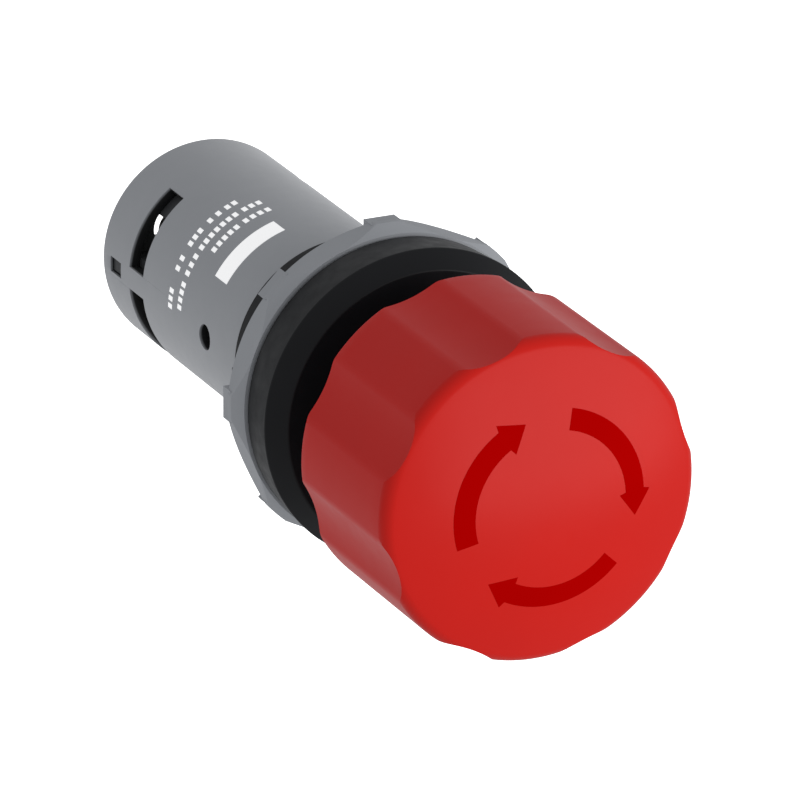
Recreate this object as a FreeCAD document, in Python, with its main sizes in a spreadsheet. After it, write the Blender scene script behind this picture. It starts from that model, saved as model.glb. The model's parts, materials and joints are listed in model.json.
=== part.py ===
import FreeCAD, Part
import math
import os
import re

import Sketcher

# Emergency stop button for a 22 mm panel hole: a mushroom head that latches when pressed and is released by a
# twist, over a one-piece collar and threaded sleeve, with the contacts and terminals in a round rear shell.
# +Z points at the operator and z = 0 is the panel seat. Millimetres and degrees.

SIZES = [
    # mushroom head
    ("head_radius", 15.0),
    ("head_height", 19.6),
    ("head_wall", 1.8),
    ("dome_rise", 2.7),
    ("rim_fillet", 1.45),
    ("ceiling_drop", 4.8),
    ("stem_bore_drop", 1.2),
    ("scallop_count", 8),
    ("scallop_depth", 0.7),
    ("scallop_span", 22.5),
    ("scallop_turn", 18.0),
    ("hub_radius", 6.0),
    ("hub_length", 8.1),
    ("arrow_radius", 8.15),
    ("arrow_width", 1.92),
    ("arrow_barb_width", 3.15),
    ("arrow_sink", 0.4),
    ("arrow_tail_angle", 16.6),
    ("arrow_barb_angle", -58.4),
    ("arrow_tip_angle", -73.6),
    ("arrow_tip_out", 0.3),
    # stem, its pin, seal and clip
    ("stem_radius", 3.5),
    ("stem_end_gap", 0.1),
    ("pin_radius", 0.75),
    ("pin_depth", 3.4),
    ("seal_height", 1.0),
    ("seal_width", 1.05),
    ("stub_radius", 2.0),
    ("stub_tail", 0.6),
    ("clip_width", 1.55),
    ("clip_thickness", 0.6),
    ("clip_groove_depth", 0.4),
    ("clip_mouth", 1.8),
    # collar and threaded sleeve
    ("collar_rim", 1.0),
    ("collar_flare", 0.37),
    ("collar_chamfer", 1.47),
    ("collar_side_height", 4.6),
    ("collar_height", 6.4),
    ("thread_radius", 11.0),
    ("sleeve_wall", 1.65),
    ("sleeve_length", 11.1),
    ("sleeve_end_chamfer", 0.4),
    ("neck_radius", 9.3),
    ("neck_wall", 1.7),
    ("neck_height", 10.1),
    ("floor_thickness", 2.6),
    ("key_width", 2.0),
    ("key_height", 1.0),
    ("key_length", 1.2),
    ("skirt_gap", 6.4),
    # panel gasket, washer and nut
    ("gasket_width", 1.1),
    ("gasket_height", 1.0),
    ("gasket_stand", 0.15),
    ("washer_thickness", 0.5),
    ("washer_depth", 2.25),
    ("nut_wall", 1.1),
    ("nut_thickness", 3.1),
    ("nut_front_gap", 0.1),
    ("nut_floor", 0.35),
    ("nut_corner_chamfer", 1.2),
    ("nut_corner_rise", 0.75),
    ("nut_tab_width", 3.0),
    ("nut_tab_height", 1.6),
    ("nut_tab_depth", 1.8),
    ("nut_hub_wall", 1.45),
    ("nut_hub_length", 2.8),
    # latch
    ("lug_count", 3),
    ("lug_gap", 1.1),
    ("lug_thickness", 1.0),
    ("lug_reach", 1.9),
    ("lug_width", 3.0),
    ("latch_gap", 0.3),
    ("latch_thickness", 1.9),
    ("latch_play", 0.15),
    ("latch_wire_radius", 0.25),
    ("latch_coils", 2.5),
    ("ledge_thickness", 2.2),
    ("ledge_step", 0.5),
    ("retainer_wall", 1.1),
    ("retainer_to_carrier", 1.4),
    # travel, springs and working gaps
    ("press_travel", 4.5),
    ("overtravel", 1.0),
    ("running_gap", 0.05),
    ("seat_gap", 0.1),
    ("side_gap", 0.3),
    ("return_wire_radius", 0.45),
    ("return_coils", 5.5),
    ("carrier_wire_radius", 0.2),
    ("carrier_coils", 7.5),
    ("carrier_spring_radius", 1.15),
    ("contact_wire_radius", 0.15),
    ("contact_coils", 4.5),
    ("contact_spring_radius", 0.85),
    # contact carrier, bridges and fixed contacts
    ("plate_thickness", 2.6),
    ("plate_wall_gap", 1.5),
    ("carrier_half_width", 2.2),
    ("carrier_post", 1.1),
    ("carrier_floor", 1.0),
    ("pocket_wall", 2.5),
    ("bridge_row", 3.9),
    ("bridge_width", 2.0),
    ("bridge_thickness", 0.6),
    ("tip_height", 0.5),
    ("tip_radius", 0.55),
    ("tip_gap", 0.05),
    ("contact_spring_length", 4.8),
    ("strip_thickness", 0.8),
    ("strip_reach", 1.6),
    ("leg_inset", 2.2),
    # rear shell, contact housing and terminal base
    ("shell_step", 0.9),
    ("shell_wall", 1.0),
    ("shell_end_chamfer", 0.5),
    ("web_thickness", 1.0),
    ("spigot_wall", 1.05),
    ("housing_wall", 1.1),
    ("hole_radius", 1.2),
    ("hole_behind_seat", 18.5),
    ("base_gap", 1.0),
    ("base_height", 10.6),
    ("base_front_wall", 0.5),
    ("base_recess", 0.4),
    ("chamber_depth", 5.5),
    ("slot_height", 3.15),
    ("slot_behind_front", 1.5),
    ("slot_angle", 30.0),
    ("slot_span", 48.0),
    ("window_height", 2.35),
    ("window_width", 1.5),
    ("window_above_end", 2.15),
    ("nose_reach", 0.8),
    ("nose_gap", 0.15),
    # terminals
    ("foot_width", 3.6),
    ("foot_offset", 0.2),
    ("wire_space", 1.6),
    ("clamp_width", 3.4),
    ("clamp_thickness", 0.7),
    ("screw_radius", 1.25),
    ("screw_head_radius", 2.0),
    ("screw_head_height", 1.85),
    ("screw_tail", 1.6),
    ("screw_slot", 0.5),
    ("screw_slot_end", 0.6),
    ("screw_slot_depth", 0.8),
    ("screw_hole_gap", 0.25),
    ("screw_to_leg", 0.15),
]

ALIASES = {alias for alias, _ in SIZES}

# How far a cutter runs past the face it opens, and how deep a joined solid starts inside its neighbour.
PAST = "1"
EMBED = "0.1"
CURVED_PAST = "0.5"

doc = FreeCAD.newDocument("emergency_stop_button")
sheet = doc.addObject("Spreadsheet::Sheet", "Sizes")
for row, (alias, value) in enumerate(SIZES, start=1):
    sheet.set(f"A{row}", alias)
    sheet.set(f"B{row}", str(value))
    sheet.setAlias(f"B{row}", alias)
doc.recompute()


def bound(text):
    """An expression that reads the sheet, from one that names its cells alone."""
    return re.sub(r"[a-z_]+", lambda word: "Sizes." + word[0] if word[0] in ALIASES else word[0], str(text))


def number(text):
    """What an expression is worth now."""
    return float(sheet.evalExpression(bound(text)))


def tie(thing, prop, text):
    thing.setExpression(prop, bound(text))


# Places along the axis, from the operator's side to the terminals.
NECK_TOP = "(collar_height + neck_height)"
SKIRT_REAR = "(collar_height + skirt_gap)"
APEX = f"({SKIRT_REAR} + head_height)"
SHOULDER = f"({APEX} - dome_rise)"
CEILING = f"({APEX} - ceiling_drop)"
HUB_REAR = f"({CEILING} - hub_length)"
STEM_BORE_TOP = f"({CEILING} - stem_bore_drop)"
STEM_TOP = f"({STEM_BORE_TOP} - stem_end_gap)"
PIN_HEIGHT = f"({STEM_TOP} - pin_depth)"
FLOOR_FRONT = "seal_height"
FLOOR_REAR = "(seal_height - floor_thickness)"
LUG_FRONT = f"({FLOOR_REAR} - lug_gap)"
LUG_REAR = f"({LUG_FRONT} - lug_thickness)"
LATCH_FRONT = f"({LUG_REAR} - latch_gap)"
LATCH_REAR = f"({LATCH_FRONT} - latch_thickness)"
LEDGE_FRONT = f"({LATCH_REAR} - seat_gap)"
LEDGE_REAR = f"({LEDGE_FRONT} - ledge_thickness)"
SPIGOT_FRONT = f"({LEDGE_REAR} - seat_gap)"
SLEEVE_REAR = "(-sleeve_length)"
SHELL_FRONT = f"({SLEEVE_REAR} - seat_gap)"
WEB_REAR = f"({SHELL_FRONT} - web_thickness)"
HOUSING_FRONT = f"({WEB_REAR} - seat_gap)"
PLATE_FRONT = f"({LEDGE_REAR} - retainer_to_carrier)"
STEM_SHOULDER = f"({PLATE_FRONT} + seat_gap)"
PLATE_REAR = f"({PLATE_FRONT} - plate_thickness)"
CLIP_FRONT = f"({PLATE_REAR} - seat_gap)"
CLIP_REAR = f"({CLIP_FRONT} - clip_thickness)"
STUB_END = f"({CLIP_REAR} - stub_tail)"
POCKET_TOP = f"({STUB_END} - pocket_wall)"
STRIP_FRONT = f"({PLATE_REAR} - press_travel - 1.5 * side_gap)"
STRIP_REAR = f"({STRIP_FRONT} - strip_thickness)"
FIXED_TIP_REAR = f"({STRIP_REAR} - tip_height)"
BRIDGE_TIP_FRONT = f"({FIXED_TIP_REAR} - tip_gap)"
BRIDGE_FRONT = f"({BRIDGE_TIP_FRONT} - tip_height)"
BRIDGE_REAR = f"({BRIDGE_FRONT} - bridge_thickness)"
WINDOW_FRONT = f"({BRIDGE_FRONT} + overtravel + seat_gap)"
WINDOW_REAR = f"({BRIDGE_REAR} - contact_spring_length)"
CARRIER_REAR = f"({WINDOW_REAR} - carrier_floor)"
BASE_FRONT = f"({CARRIER_REAR} - press_travel - base_gap)"
BASE_REAR = f"({BASE_FRONT} - base_height)"
SHELL_REAR = f"({BASE_REAR} - base_recess)"
FOOT_FRONT = f"({BASE_FRONT} - base_front_wall - seat_gap)"
FOOT_REAR = f"({FOOT_FRONT} - strip_thickness)"
CHAMBER_FRONT = f"({BASE_FRONT} - base_front_wall)"
CHAMBER_REAR = f"({CHAMBER_FRONT} - chamber_depth)"
CLAMP_FRONT = f"({FOOT_REAR} - wire_space)"
CLAMP_REAR = f"({CLAMP_FRONT} - clamp_thickness)"
SCREW_SEAT = f"({CLAMP_REAR} - running_gap)"
SLOT_FRONT = f"({BASE_FRONT} - slot_behind_front)"
SLOT_REAR = f"({SLOT_FRONT} - slot_height)"
WINDOW_LOW = f"({SHELL_REAR} + window_above_end)"
WINDOW_HIGH = f"({WINDOW_LOW} + window_height)"
NUT_FRONT = "(-nut_front_gap)"
NUT_REAR = f"({NUT_FRONT} - nut_thickness)"
WASHER_REAR = "(-washer_depth - washer_thickness)"
NUT_RECESS = f"({WASHER_REAR} - seat_gap)"

# Radii and half widths that follow from others.
SLEEVE_BORE = "(thread_radius - sleeve_wall)"
NECK_BORE = "(neck_radius - neck_wall)"
GUIDE_BORE = "(stem_radius + running_gap)"
SKIRT_BORE = "(head_radius - head_wall)"
SEAL_OUTER = "(stem_radius + running_gap + seal_width)"
GASKET_INNER = "(thread_radius + key_height + 2 * seat_gap)"
GASKET_OUTER = f"({GASKET_INNER} + gasket_width)"
NUT_RECESS_RADIUS = f"({GASKET_OUTER} + seat_gap)"
NUT_FLATS = f"({NUT_RECESS_RADIUS} + nut_wall)"
NUT_CORNER = f"({NUT_FLATS} / cos(22.5))"
NUT_CUT_CORNER = f"({NUT_FLATS} + nut_corner_rise)"
NUT_BORE = "(thread_radius + running_gap)"
COLLAR_REAR = f"({GASKET_OUTER} + collar_rim)"
COLLAR_FRONT = f"({COLLAR_REAR} + collar_flare)"
COLLAR_FACE = f"({COLLAR_FRONT} - collar_chamfer)"
LUG_RADIUS = "(stem_radius + lug_reach)"
LATCH_SLOT_RADIUS = f"({LUG_RADIUS} + side_gap)"
RETAINER_OUTER = f"({SLEEVE_BORE} - seat_gap)"
RETAINER_INNER = f"({RETAINER_OUTER} - retainer_wall)"
LATCH_RADIUS = f"({RETAINER_INNER} - latch_play)"
LEDGE_INNER = f"({LATCH_SLOT_RADIUS} + ledge_step)"
SHELL_RADIUS = "(thread_radius - shell_step)"
SHELL_INNER = f"({SHELL_RADIUS} - shell_wall)"
SPIGOT_INNER = f"({RETAINER_OUTER} - spigot_wall)"
HOUSING_RADIUS = f"({SHELL_INNER} - seat_gap)"
HOUSING_BORE = f"({HOUSING_RADIUS} - housing_wall)"
PLATE_RADIUS = f"({SHELL_INNER} - plate_wall_gap)"
LEG_OUTER = f"({SHELL_INNER} - leg_inset)"
LEG_INNER = f"({LEG_OUTER} - strip_thickness)"
STRIP_INNER = f"({LEG_INNER} - strip_reach)"
TIP_OFFSET = f"({LEG_INNER} - side_gap - tip_radius)"
BRIDGE_END = f"({LEG_INNER} - side_gap)"
ROW_LOW = "(bridge_row - bridge_width / 2)"
ROW_HIGH = "(bridge_row + bridge_width / 2)"
CARRIER_HALF_DEPTH = f"({ROW_HIGH} + side_gap + carrier_post)"
FOOT_ROW = "(bridge_row - foot_offset)"
SCREW_X = f"({LEG_INNER} - screw_radius - screw_to_leg)"
DOME_RADIUS = "((head_radius * head_radius + dome_rise * dome_rise) / (2 * dome_rise))"


def sketch(body, name, plane, height="0"):
    """A drawing on one of the body's own origin planes, raised by height."""
    drawing = body.newObject("Sketcher::SketchObject", name)
    origin_plane = next(f for f in body.Origin.OriginFeatures if f.Role == plane)
    drawing.AttachmentSupport = (origin_plane, "")
    drawing.MapMode = "FlatFace"
    tie(drawing, "AttachmentOffset.Base.z", height)
    return drawing


def fix_point(drawing, edge, end, x, y):
    """Holds one end of an edge at a place that the sheet sets."""
    for kind, text in (("DistanceX", x), ("DistanceY", y)):
        index = drawing.addConstraint(Sketcher.Constraint(kind, -1, 1, edge, end, number(text)))
        tie(drawing, f"Constraints[{index}]", text)


def outline(drawing, points):
    """A closed outline. The edge that leaves a point marked "dome" is an arc about the upright axis."""
    for i, point in enumerate(points):
        after = points[(i + 1) % len(points)]
        start = FreeCAD.Vector(number(point[0]), number(point[1]), 0)
        end = FreeCAD.Vector(number(after[0]), number(after[1]), 0)
        if len(point) == 2:
            drawing.addGeometry(Part.LineSegment(start, end), False)
            continue
        radius = (start.x**2 + (end.y - start.y) ** 2) / (2 * (end.y - start.y))
        middle = FreeCAD.Vector(0, end.y - radius, 0)
        circle = Part.Circle(middle, FreeCAD.Vector(0, 0, 1), radius)
        first = math.atan2(start.y - middle.y, start.x)
        drawing.addGeometry(Part.ArcOfCircle(circle, first, math.pi / 2), False)
        drawing.addConstraint(Sketcher.Constraint("PointOnObject", i, 3, -2))
    for i, point in enumerate(points):
        drawing.addConstraint(Sketcher.Constraint("Coincident", i, 2, (i + 1) % len(points), 1))
        fix_point(drawing, i, 1, point[0], point[1])


def turned(name, points):
    """A solid of revolution about Z from its half section in radius and height."""
    body = doc.addObject("PartDesign::Body", name)
    drawing = sketch(body, name + "_section", "XZ_Plane")
    outline(drawing, points)
    turn = body.newObject("PartDesign::Revolution", name + "_turn")
    turn.Profile = drawing
    turn.ReferenceAxis = (drawing, ["V_Axis"])
    turn.Angle = 360
    return body


def ring(name, inner, outer, low, high):
    return turned(name, [(inner, low), (outer, low), (outer, high), (inner, high)])


def prism(name, points, low, high):
    """A plan outline padded from one height to another."""
    body = doc.addObject("PartDesign::Body", name)
    drawing = sketch(body, name + "_plan", "XY_Plane", low)
    outline(drawing, points)
    pad = body.newObject("PartDesign::Pad", name + "_pad")
    pad.Profile = drawing
    tie(pad, "Length", f"{high} - {low}")
    return body


def polar(radius, angle):
    """Plan coordinates of a point at a radius and an angle in degrees."""
    return f"{radius} * cos({angle})", f"{radius} * sin({angle})"


def wedge(name, reach, first, last, low, high):
    """A plan sector from the axis, wide enough to cover everything within about 0.8 of its reach."""
    return prism(name, [("0", "0"), polar(reach, first), polar(reach, last)], low, high)


def radial_bar(name, angle, inner, outer, width, low, high):
    """A bar that points outwards at an angle in degrees."""
    along = (math.cos(math.radians(angle)), math.sin(math.radians(angle)))

    def corner(radius, side):
        x = f"{radius} * {along[0]:.9f} - {side} * {width} * {along[1]:.9f}"
        y = f"{radius} * {along[1]:.9f} + {side} * {width} * {along[0]:.9f}"
        return x, y

    points = [corner(inner, -0.5), corner(outer, -0.5), corner(outer, 0.5), corner(inner, 0.5)]
    return prism(name, points, low, high)


def place(thing, x, y, z):
    for axis, text in zip("xyz", (x, y, z)):
        tie(thing, "Placement.Base." + axis, text)


def box(name, x, y, z):
    """A block between (low, high) pairs along each axis."""
    block = doc.addObject("Part::Box", name)
    for prop, (low, high) in zip(("Length", "Width", "Height"), (x, y, z)):
        tie(block, prop, f"({high}) - ({low})")
    place(block, x[0], y[0], z[0])
    return block


def rod(name, radius, low, high, x="0", y="0"):
    """A cylinder along Z."""
    cylinder = doc.addObject("Part::Cylinder", name)
    tie(cylinder, "Radius", radius)
    tie(cylinder, "Height", f"({high}) - ({low})")
    place(cylinder, x, y, low)
    return cylinder


def cross_rod(name, radius, x, z):
    """A cylinder along X between a (low, high) pair, at a height."""
    cylinder = doc.addObject("Part::Cylinder", name)
    tie(cylinder, "Radius", radius)
    tie(cylinder, "Height", f"({x[1]}) - ({x[0]})")
    cylinder.Placement.Rotation = FreeCAD.Rotation(FreeCAD.Vector(0, 1, 0), 90)
    place(cylinder, x[0], "0", z)
    return cylinder


def fuse(name, *things):
    joined = doc.addObject("Part::MultiFuse", name)
    joined.Shapes = list(things)
    return joined


def cut(name, base, *tools):
    result = doc.addObject("Part::Cut", name)
    result.Base = base
    result.Tool = tools[0] if len(tools) == 1 else fuse(name + "_tools", *tools)
    return result


def common(name, *things):
    result = doc.addObject("Part::MultiCommon", name)
    result.Shapes = list(things)
    return result


def group(name, things):
    """Identical pieces that share one node, each still a solid of its own."""
    result = doc.addObject("Part::Compound", name)
    result.Links = list(things)
    return result


def coil(name, radius, wire, low, high, turns, y="0"):
    """A round-wire helical spring whose coils lie between two heights."""
    spine = doc.addObject("Part::Helix", name + "_spine")
    tie(spine, "Radius", radius)
    tie(spine, "Height", f"({high}) - ({low}) - 2 * {wire}")
    tie(spine, "Pitch", f"(({high}) - ({low}) - 2 * {wire}) / ({turns})")
    section = doc.addObject("Part::Circle", name + "_wire")
    tie(section, "Radius", wire)
    section.Placement.Rotation = FreeCAD.Rotation(FreeCAD.Vector(1, 0, 0), 90)
    tie(section, "Placement.Base.x", radius)
    spine.SegmentLength = 1
    doc.recompute([spine])
    sweep = doc.addObject("Part::Sweep", name)
    sweep.Sections = [section]
    sweep.Spine = (spine, [f"Edge{i}" for i in range(1, len(spine.Shape.Edges) + 1)])
    sweep.Solid = True
    sweep.Frenet = True
    place(sweep, "0", y, f"({low}) + {wire}")
    return sweep


def signed(text, sign):
    return f"({sign} * {text})"


def span(low, high, sign=1):
    """A (low, high) pair, mirrored across zero when sign is -1."""
    return (low, high) if sign > 0 else (f"-({high})", f"-({low})")


def make_arrows():
    """Three curved arrows that show the release turn, let into the dome."""
    arrows = []
    low, high = SHOULDER, f"({APEX} + head_wall)"
    for k in range(3):
        turn = f"{120 * k} + "
        inner, outer = "(arrow_radius - arrow_width / 2)", "(arrow_radius + arrow_width / 2)"
        band = ring(f"arrow_band_{k}", inner, outer, low, high)
        sector = wedge(
            f"arrow_sector_{k}",
            "(2 * arrow_radius)",
            turn + "arrow_barb_angle",
            turn + "arrow_tail_angle",
            low,
            high,
        )
        shaft = common(f"arrow_shaft_{k}", band, sector)
        barbs = [
            polar("(arrow_radius - arrow_barb_width / 2)", turn + "arrow_barb_angle"),
            polar("(arrow_radius + arrow_tip_out)", turn + "arrow_tip_angle"),
            polar("(arrow_radius + arrow_barb_width / 2)", turn + "arrow_barb_angle"),
        ]
        point = prism(f"arrow_point_{k}", barbs, low, high)
        arrows.append(fuse(f"arrow_{k}", shaft, point))
    spheres = []
    for name, radius in (("dome_ball", DOME_RADIUS), ("dome_ball_inner", f"({DOME_RADIUS} - arrow_sink)")):
        ball = doc.addObject("Part::Sphere", name)
        tie(ball, "Radius", radius)
        place(ball, "0", "0", f"{APEX} - {DOME_RADIUS}")
        spheres.append(ball)
    skin = cut("dome_skin", *spheres)
    cutouts = [common(f"release_arrow_{k}", arrow, skin) for k, arrow in enumerate(arrows)]
    return group("release_arrows", cutouts)


def make_head(arrows):
    """Mushroom head: scalloped skirt, crowned top, and a hub that holds the stem."""
    blank = turned(
        "head_blank",
        [
            (GUIDE_BORE, HUB_REAR),
            ("hub_radius", HUB_REAR),
            ("hub_radius", CEILING),
            (SKIRT_BORE, CEILING),
            (SKIRT_BORE, SKIRT_REAR),
            ("head_radius", SKIRT_REAR),
            ("head_radius", SHOULDER, "dome"),
            ("0", APEX),
            ("0", STEM_BORE_TOP),
            (GUIDE_BORE, STEM_BORE_TOP),
        ],
    )
    doc.recompute()
    turn = blank.Tip
    fillet = blank.newObject("PartDesign::Fillet", "head_rim_fillet")
    fillet.Base = (turn, circles(turn, "head_radius", SHOULDER))
    tie(fillet, "Radius", "rim_fillet")
    half_chord = "(head_radius * sin(scallop_span / 2))"
    sagitta = "(scallop_depth - head_radius * (1 - cos(scallop_span / 2)))"
    cutter_radius = f"(({half_chord} * {half_chord} + {sagitta} * {sagitta}) / (2 * {sagitta}))"
    distance = f"(head_radius - scallop_depth + {cutter_radius})"
    cutters = []
    for k in range(int(number("scallop_count"))):
        x, y = polar(distance, f"scallop_turn + {k} * 360 / scallop_count")
        cutters.append(rod(f"scallop_{k}", cutter_radius, f"{SKIRT_REAR} - {PAST}", f"{APEX} + {PAST}", x, y))
    pin_hole = cross_rod(
        "head_pin_hole",
        "(pin_radius + running_gap)",
        (f"-hub_radius - {EMBED}", f"hub_radius + {EMBED}"),
        PIN_HEIGHT,
    )
    scalloped = cut("head_scalloped", blank, *cutters, pin_hole)
    return cut("mushroom_head", scalloped, arrows)


def circles(feature, radius, height):
    """Names of a feature's circular edges of one radius at one height."""
    names = []
    for i, edge in enumerate(feature.Shape.Edges, start=1):
        curve = None if edge.Degenerated else edge.Curve
        if not isinstance(curve, Part.Circle):
            continue
        if abs(curve.Radius - number(radius)) < 0.001 and abs(curve.Center.z - number(height)) < 0.001:
            names.append(f"Edge{i}")
    return names


def make_stem():
    """Actuator stem with its latch lugs, a cross hole for the head pin and a stub for the carrier."""
    groove = "(stub_radius - clip_groove_depth)"
    shaft = turned(
        "stem_shaft",
        [
            ("0", STUB_END),
            ("stub_radius", STUB_END),
            ("stub_radius", f"{CLIP_REAR} - running_gap"),
            (groove, f"{CLIP_REAR} - running_gap"),
            (groove, f"{CLIP_FRONT} + running_gap"),
            ("stub_radius", f"{CLIP_FRONT} + running_gap"),
            ("stub_radius", STEM_SHOULDER),
            ("stem_radius", STEM_SHOULDER),
            ("stem_radius", STEM_TOP),
            ("0", STEM_TOP),
        ],
    )
    lugs = [
        radial_bar(
            f"stem_lug_{k}", 90 + 120 * k, "(stem_radius / 2)", LUG_RADIUS, "lug_width", LUG_REAR, LUG_FRONT
        )
        for k in range(int(number("lug_count")))
    ]
    hole = cross_rod("stem_pin_hole", "(pin_radius + running_gap)", ("-hub_radius", "hub_radius"), PIN_HEIGHT)
    cut("actuator_stem", fuse("stem_with_lugs", shaft, *lugs), hole)
    reach = "(hub_radius - seat_gap)"
    cross_rod("head_cross_pin", "pin_radius", (f"-{reach}", reach), PIN_HEIGHT)
    clip_inner = f"({groove} + running_gap)"
    clip = ring("clip_ring", clip_inner, f"({clip_inner} + clip_width)", CLIP_REAR, CLIP_FRONT)
    mouth = box(
        "clip_gap",
        ("0", "2 * stub_radius + clip_width"),
        ("-clip_mouth / 2", "clip_mouth / 2"),
        (f"{CLIP_REAR} - {PAST}", f"{CLIP_FRONT} + {PAST}"),
    )
    cut("stem_clip", clip, mouth)


def make_collar():
    """Collar, threaded sleeve, neck and floor in one moulding, with the key that stops it turning."""
    groove_inner = f"({GASKET_INNER} - running_gap)"
    groove_outer = f"({GASKET_OUTER} + running_gap)"
    groove_top = "(gasket_height + running_gap)"
    body = turned(
        "collar_body",
        [
            (GUIDE_BORE, FLOOR_REAR),
            (SLEEVE_BORE, FLOOR_REAR),
            (SLEEVE_BORE, SLEEVE_REAR),
            ("(thread_radius - sleeve_end_chamfer)", SLEEVE_REAR),
            ("thread_radius", f"({SLEEVE_REAR} + sleeve_end_chamfer)"),
            ("thread_radius", "gasket_stand"),
            (groove_inner, "gasket_stand"),
            (groove_inner, groove_top),
            (groove_outer, groove_top),
            (groove_outer, "gasket_stand"),
            (COLLAR_REAR, "gasket_stand"),
            (COLLAR_FRONT, "collar_side_height"),
            (COLLAR_FACE, "collar_height"),
            ("neck_radius", "collar_height"),
            ("neck_radius", NECK_TOP),
            (NECK_BORE, NECK_TOP),
            (NECK_BORE, FLOOR_FRONT),
            (f"({SEAL_OUTER} + running_gap)", FLOOR_FRONT),
            (f"({SEAL_OUTER} + running_gap)", "0"),
            (GUIDE_BORE, "0"),
        ],
    )
    key = radial_bar(
        "collar_key",
        180,
        "(thread_radius - sleeve_wall / 2)",
        "(thread_radius + key_height)",
        "key_width",
        "(-key_length)",
        "(gasket_stand + seat_gap)",
    )
    fuse("collar_sleeve", body, key)
    ring("panel_gasket", GASKET_INNER, GASKET_OUTER, "0", "gasket_height")
    ring("stem_seal", GUIDE_BORE, SEAL_OUTER, "running_gap", "(seal_height - running_gap)")


def make_nut():
    """Eight-sided fixing nut: chamfered corners, a tab on each, a recess for its washer, a threaded hub."""
    corners = [polar(NUT_CORNER, f"{45 * k}") for k in range(8)]
    octagon = prism("nut_octagon", corners, NUT_REAR, NUT_FRONT)
    envelope = turned(
        "nut_envelope",
        [
            ("0", NUT_REAR),
            (NUT_FLATS, NUT_REAR),
            (NUT_CUT_CORNER, f"({NUT_REAR} + nut_corner_chamfer)"),
            (NUT_CUT_CORNER, f"({NUT_FRONT} - nut_corner_chamfer)"),
            (NUT_FLATS, NUT_FRONT),
            ("0", NUT_FRONT),
        ],
    )
    faceted = common("nut_faceted", octagon, envelope)
    tabs = [
        radial_bar(
            f"nut_tab_{k}",
            45 * k,
            f"({NUT_CORNER} - nut_tab_depth)",
            f"({NUT_CUT_CORNER} - seat_gap)",
            "nut_tab_width",
            NUT_REAR,
            f"({NUT_REAR} + nut_tab_height)",
        )
        for k in range(8)
    ]
    hub_outer = f"({NUT_BORE} + nut_hub_wall)"
    hub = rod("nut_hub", hub_outer, f"{NUT_REAR} - nut_hub_length", f"{NUT_REAR} + nut_floor")
    bore = rod("nut_bore", NUT_BORE, f"{NUT_REAR} - nut_hub_length - {PAST}", "1")
    recess = rod("nut_recess", NUT_RECESS_RADIUS, NUT_RECESS, "1")
    cut("fixing_nut", fuse("nut_solid", faceted, hub, *tabs), bore, recess)
    ring("clamp_washer", f"({NUT_BORE} + seat_gap)", GASKET_OUTER, WASHER_REAR, "(-washer_depth)")


def make_latch():
    """Latch ring with slots for the stem's lugs, its torsion spring and the retainer that holds both."""
    blank = ring("latch_blank", "(stem_radius + side_gap)", LATCH_RADIUS, LATCH_REAR, LATCH_FRONT)
    slots = [
        radial_bar(
            f"latch_slot_{k}",
            90 + 120 * k,
            "(stem_radius / 2)",
            LATCH_SLOT_RADIUS,
            "(lug_width + 2 * side_gap)",
            f"({LATCH_REAR} - 1)",
            f"({LATCH_FRONT} + 0.2)",
        )
        for k in range(int(number("lug_count")))
    ]
    cut("latch_ring", blank, *slots)
    coil(
        "latch_spring",
        f"({LATCH_RADIUS} - 4 * latch_wire_radius)",
        "latch_wire_radius",
        f"{LATCH_FRONT} + seat_gap",
        f"{FLOOR_REAR} - seat_gap",
        "latch_coils",
    )
    turned(
        "latch_retainer",
        [
            (LEDGE_INNER, LEDGE_REAR),
            (RETAINER_OUTER, LEDGE_REAR),
            (RETAINER_OUTER, f"({FLOOR_REAR} - seat_gap)"),
            (RETAINER_INNER, f"({FLOOR_REAR} - seat_gap)"),
            (RETAINER_INNER, LEDGE_FRONT),
            (LEDGE_INNER, LEDGE_FRONT),
        ],
    )


def make_return_spring():
    coil(
        "return_spring",
        "((stem_radius + hub_radius) / 2 + return_wire_radius)",
        "return_wire_radius",
        f"{FLOOR_FRONT} + running_gap",
        f"{HUB_REAR} - running_gap",
        "return_coils",
    )


def make_carrier():
    """Contact carrier: a plate clipped to the stem over two windows that hold the sprung bridges."""
    plate = rod("carrier_plate", PLATE_RADIUS, PLATE_REAR, PLATE_FRONT)
    block = box(
        "carrier_block",
        ("-carrier_half_width", "carrier_half_width"),
        (f"-{CARRIER_HALF_DEPTH}", CARRIER_HALF_DEPTH),
        (CARRIER_REAR, f"{PLATE_FRONT} - plate_thickness / 2"),
    )
    low, high = f"{PLATE_REAR} - {PAST}", f"{PLATE_FRONT} + {PAST}"
    bore = rod("carrier_bore", "(stub_radius + running_gap)", low, high)
    clip_room = rod("carrier_clip_room", f"({ROW_LOW} + side_gap)", f"{STUB_END} - side_gap", PLATE_REAR)
    pocket = rod(
        "carrier_spring_pocket",
        "(carrier_spring_radius + carrier_wire_radius + side_gap)",
        f"{CARRIER_REAR} - {PAST}",
        POCKET_TOP,
    )
    windows = [
        box(
            f"carrier_window_{k}",
            ("-2 * carrier_half_width", "2 * carrier_half_width"),
            span(f"{ROW_LOW} - side_gap", f"{ROW_HIGH} + side_gap", sign),
            (WINDOW_REAR, WINDOW_FRONT),
        )
        for k, sign in ((1, 1), (2, -1))
    ]
    cut("contact_carrier", fuse("carrier_solid", plate, block), bore, clip_room, pocket, *windows)
    coil(
        "carrier_spring",
        "carrier_spring_radius",
        "carrier_wire_radius",
        f"{BASE_FRONT} + running_gap",
        f"{POCKET_TOP} - running_gap",
        "carrier_coils",
    )


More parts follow.
